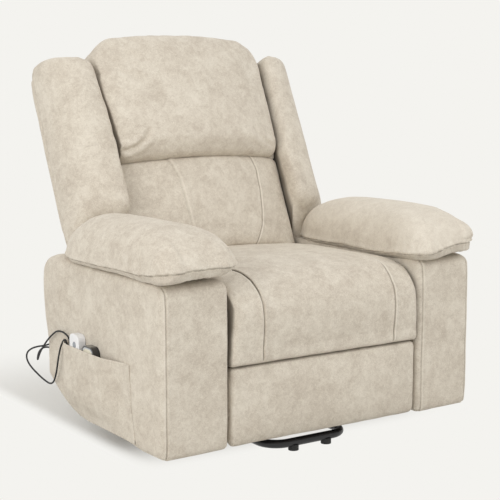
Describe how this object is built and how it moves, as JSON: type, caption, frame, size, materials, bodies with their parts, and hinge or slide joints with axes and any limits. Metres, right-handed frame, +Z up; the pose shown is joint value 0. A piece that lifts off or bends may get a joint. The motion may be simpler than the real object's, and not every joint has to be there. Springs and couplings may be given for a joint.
{
  "type": "lift recliner chair",
  "caption": "Padded lift recliner chair with reclining back, folding footrest, pillow arms, side pocket with handsets, and a floor base that raises and tilts the body.",
  "frame": {"origin": "centre of the bounding box in plan, on the floor under the glides", "axes": "+Z up; the chair faces -Y; +X is the sitter's left; the pocket is on the sitter's right arm, at -X"},
  "size_m": [0.962, 0.8632, 1.0107],
  "materials": {
    "suede": "mottled faux suede",
    "black_frame": "black powder coat",
    "zinc_steel": "zinc plated",
    "timber": "raw plywood",
    "rubber": "matt",
    "cord_jacket": "satin jacket",
    "black_plastic": "textured",
    "black_gloss": "gloss",
    "white_plastic": "satin white",
    "grey_plastic": "matt grey",
    "bezel_metal": "silver trim",
    "cream_plastic": "pale cream"
  },
  "bodies": {
    "base": {"base_bow": "black_frame", "base_front_tube": "black_frame", "base_rear_tube": "black_frame", "base_glides": "rubber", "base_bracket_left": "black_frame", "base_bracket_right": "black_frame", "base_pins": "zinc_steel", "actuator_bracket": "black_frame"},
    "lift_arms": {"lift_arm_left": "zinc_steel", "lift_arm_right": "zinc_steel", "torque_tube": "zinc_steel", "lift_crank": "zinc_steel"},
    "front_links": {"front_link_left": "zinc_steel", "front_link_right": "zinc_steel"},
    "chassis": {"chassis_plate_left": "zinc_steel", "chassis_plate_right": "zinc_steel", "chassis_cross_front": "zinc_steel", "chassis_cross_rear": "zinc_steel", "chassis_pins": "zinc_steel", "footrest_hanger_left": "zinc_steel", "footrest_hanger_right": "zinc_steel", "seat_deck": "timber", "seat_cushion": "suede", "arm_frame_left": "timber", "arm_frame_right": "timber", "arm_cover_left": "suede", "arm_cover_right": "suede", "arm_pad_left": "suede", "arm_pad_right": "suede", "side_pocket": "suede", "rear_panel": "suede", "control_box": "black_plastic", "mains_gland": "black_plastic", "cord_grommet": "rubber", "recline_pins": "zinc_steel", "cord_white": "cord_jacket", "cord_black": "cord_jacket"},
    "back": {"back_frame": "timber", "back_outer": "suede", "lumbar_cushion": "suede", "headrest_cushion": "suede", "wing_left": "suede", "wing_right": "suede"},
    "foot_links_a": {"footrest_link_a_left": "zinc_steel", "footrest_link_a_right": "zinc_steel"},
    "foot_links_b": {"footrest_link_b_left": "zinc_steel", "footrest_link_b_right": "zinc_steel"},
    "footrest": {"footrest_board": "timber", "footrest_lugs": "zinc_steel", "footrest_pad": "suede"},
    "actuator": {"actuator_motor": "black_plastic", "actuator_tube": "zinc_steel"},
    "rod": {"actuator_rod": "zinc_steel"},
    "white_handset": {"handset_white": "white_plastic"},
    "up_button": {"button_up": "grey_plastic"},
    "down_button": {"button_down": "grey_plastic"},
    "black_handset": {"handset_black": "black_gloss", "handset_bezel": "bezel_metal", "handset_face": "cream_plastic"}
  },
  "joints": [
    {"name": "lift", "type": "hinge", "parent": "base", "child": "lift_arms", "pos_m": [0, -0.14664, 0.09], "axis": [1, 0, 0], "range_deg": [0, 42]},
    {"name": "lift_chassis_pivot", "type": "hinge", "parent": "lift_arms", "child": "chassis", "pos_m": [0, 0.11607, 0.14297], "axis": [1, 0, 0], "range_deg": [-17.36, 0.5]},
    {"name": "lift_front_link", "type": "hinge", "parent": "base", "child": "front_links", "pos_m": [0, -0.21364, 0.085], "axis": [1, 0, 0], "range_deg": [-0.5, 53.69]},
    {"name": "actuator_pivot", "type": "hinge", "parent": "base", "child": "actuator", "pos_m": [0, 0.15666, 0.0604], "axis": [1, 0, 0], "range_deg": [-0.5, 7.58]},
    {"name": "actuator_stroke", "type": "slide", "parent": "actuator", "child": "rod", "axis": [0, -0.8144, 0.5803], "range_m": [-0.001, 0.10359]},
    {"name": "recline", "type": "hinge", "parent": "chassis", "child": "back", "pos_m": [0, 0.14592, 0.4117], "axis": [-1, 0, 0], "range_deg": [0, 38]},
    {"name": "footrest_extend", "type": "hinge", "parent": "chassis", "child": "foot_links_a", "pos_m": [0, -0.22244, 0.2249], "axis": [-1, 0, 0], "range_deg": [0, 115.1]},
    {"name": "footrest_knee", "type": "hinge", "parent": "foot_links_a", "child": "foot_links_b", "pos_m": [0, -0.09504, 0.1004], "axis": [-1, 0, 0], "range_deg": [-107.4, 0.5]},
    {"name": "footrest_tilt", "type": "hinge", "parent": "foot_links_b", "child": "footrest", "pos_m": [0, -0.32344, 0.2236], "axis": [-1, 0, 0], "range_deg": [-0.5, 74.3]},
    {"name": "white_handset_lift_out", "type": "slide", "parent": "chassis", "child": "white_handset", "axis": [0, 0, 1], "range_m": [0, 0.06]},
    {"name": "black_handset_lift_out", "type": "slide", "parent": "chassis", "child": "black_handset", "axis": [0, 0, 1], "range_m": [0, 0.06]},
    {"name": "up_button_press", "type": "slide", "parent": "white_handset", "child": "up_button", "axis": [1, 0, 0], "range_m": [0, 0.001], "stiffness_N_per_m": 400},
    {"name": "down_button_press", "type": "slide", "parent": "white_handset", "child": "down_button", "axis": [1, 0, 0], "range_m": [0, 0.001], "stiffness_N_per_m": 400}
  ],
  "couplings": [
    {"joint": "lift_chassis_pivot", "follows": "lift", "ratio": -0.4014},
    {"joint": "lift_front_link", "follows": "lift", "ratio": 1.2664},
    {"joint": "actuator_pivot", "follows": "lift", "ratio": 0.1686},
    {"joint": "actuator_stroke", "follows": "lift", "m_per_rad": 0.13995},
    {"joint": "footrest_knee", "follows": "footrest_extend", "ratio": -0.92876},
    {"joint": "footrest_tilt", "follows": "footrest_extend", "ratio": 0.64118}
  ]
}
